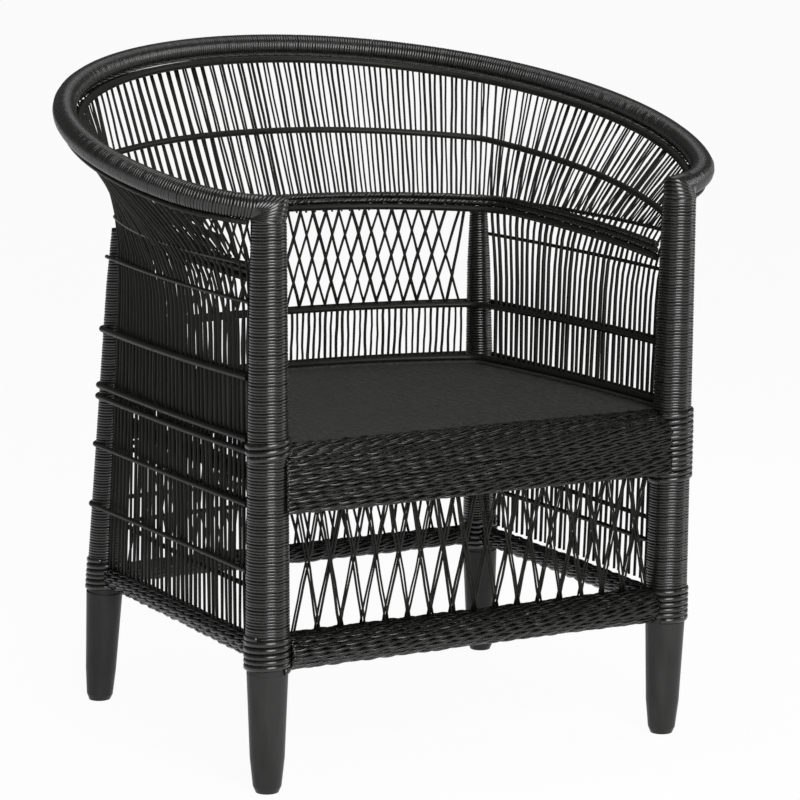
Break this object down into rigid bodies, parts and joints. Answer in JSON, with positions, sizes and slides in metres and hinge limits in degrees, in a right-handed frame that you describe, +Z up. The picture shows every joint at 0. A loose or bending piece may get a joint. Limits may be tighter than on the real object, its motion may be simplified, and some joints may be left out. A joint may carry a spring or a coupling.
{
  "type": "armchair",
  "caption": "Low tub armchair in black cane with bound pole legs, a tilted horseshoe arm and back rim, a flared stake back and a woven seat.",
  "frame": {"origin": "on the floor under the middle of the chair's bounding box", "axes": "+Z up, front faces -Y, the chair is symmetric left to right across X"},
  "size_m": [0.753, 0.6038, 0.7799],
  "materials": {
    "pole": "satin black stain on turned poles",
    "core": "black stained pole under the cane",
    "binding": "split cane binding, satin black",
    "band": "twined cane, satin black",
    "hoop": "bent cane, satin black",
    "cane": "thin cane, satin black",
    "weave": "dense fine cane weave, matt black",
    "apron": "twined cane, glossy black",
    "nail": "plain steel",
    "dowel": "bare hardwood"
  },
  "bodies": {
    "root": {"apron_rod": "hoop", "back_lattice": "cane", "back_low_band": "band", "back_low_rail": "core", "back_seat_rail": "core", "back_wall_stakes": "cane", "flare_inner_stakes_back": "cane", "flare_inner_stakes_left": "cane", "flare_inner_stakes_right": "cane", "flare_outer_stakes_back": "cane", "flare_outer_stakes_left": "cane", "flare_outer_stakes_right": "cane", "flare_ring": "hoop", "front_apron": "apron", "front_lattice": "cane", "front_left_binding": "binding", "front_left_leg": "pole", "front_low_band": "band", "front_low_rail": "core", "front_right_binding": "binding", "front_right_leg": "pole", "front_seat_rail": "core", "left_low_band": "band", "left_low_rail": "core", "left_seat_rail": "core", "left_wall_stakes": "cane", "low_inner_ring": "hoop", "low_outer_ring": "hoop", "mid_inner_ring": "hoop", "mid_outer_ring": "hoop", "rail_nails": "nail", "rear_left_binding": "binding", "rear_left_leg": "pole", "rear_right_binding": "binding", "rear_right_leg": "pole", "right_low_band": "band", "right_low_rail": "core", "right_seat_rail": "core", "right_wall_stakes": "cane", "rim_binding": "binding", "rim_core": "core", "rim_dowels": "dowel", "rim_inner_hoop": "hoop", "rim_outer_hoop": "hoop", "seat_inner_ring": "hoop", "seat_lower_ring": "hoop", "seat_upper_ring": "hoop", "seat_warp_canes": "cane", "seat_weave": "weave", "skirt_inner_ring": "hoop", "skirt_lattice": "cane", "skirt_outer_ring": "hoop", "waist_hoop": "hoop", "waist_lower_ring": "hoop", "waist_rope_lower": "hoop", "waist_rope_upper": "hoop", "waist_upper_ring": "hoop"}
  },
  "joints": []
}
